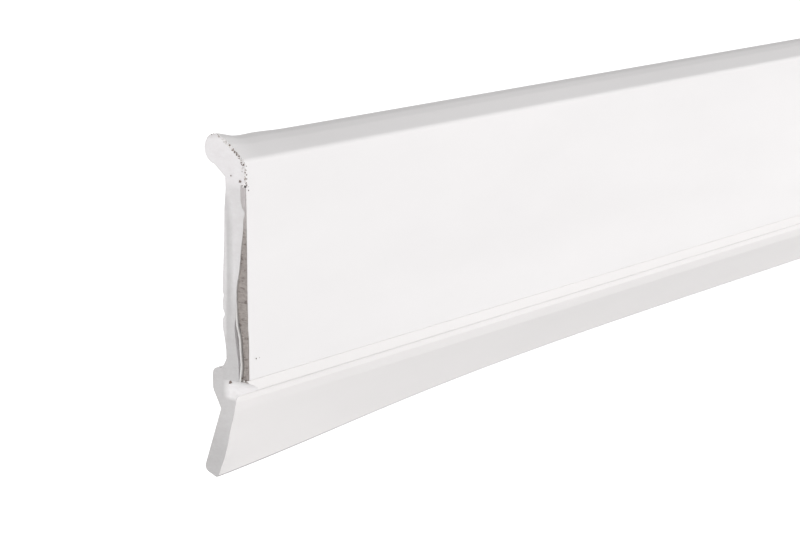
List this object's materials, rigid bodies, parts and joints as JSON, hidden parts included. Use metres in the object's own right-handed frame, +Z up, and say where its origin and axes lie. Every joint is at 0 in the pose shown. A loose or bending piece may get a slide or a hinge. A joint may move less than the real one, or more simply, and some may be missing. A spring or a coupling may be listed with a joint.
{
  "type": "door sweep",
  "caption": "White stick-on door sweep: board-cored vinyl strip with a soft top lip, a soft bottom flap and foam tape behind.",
  "frame": {"origin": "the middle of the mounting tape's outer face, where it meets the door", "axes": "+X along the strip, +Y out of the tape into the door, so the white front face looks towards -Y, and +Z up"},
  "size_m": [0.914, 0.0167, 0.0685],
  "materials": {
    "core_board": "matte",
    "face_film": "satin",
    "back_film": "matte",
    "hard_vinyl": "satin",
    "soft_vinyl": "satin",
    "foam_tape": "matte",
    "liner_paper": "satin"
  },
  "bodies": {
    "strip": {"core_board": "core_board", "face_film": "face_film", "back_film": "back_film", "back_web": "hard_vinyl", "lip_root": "soft_vinyl", "hinge_bead": "soft_vinyl", "mounting_tape": "foam_tape"},
    "lip": {"top_lip": "soft_vinyl"},
    "flap": {"sweep_flap": "soft_vinyl"},
    "liner": {"release_liner": "liner_paper"}
  },
  "joints": [
    {"name": "lip_flex", "type": "hinge", "parent": "strip", "child": "lip", "pos_m": [0, -0.0057, 0.0218], "axis": [1, 0, 0], "range_deg": [-6, 25], "stiffness_Nm_per_rad": 0.2},
    {"name": "flap_bend", "type": "hinge", "parent": "strip", "child": "flap", "pos_m": [0, -0.0048, -0.027], "axis": [1, 0, 0], "range_deg": [-40, 25], "stiffness_Nm_per_rad": 0.6},
    {"name": "liner_peel", "type": "slide", "parent": "strip", "child": "liner", "axis": [0, 1, 0], "range_m": [0, 0.03]}
  ]
}
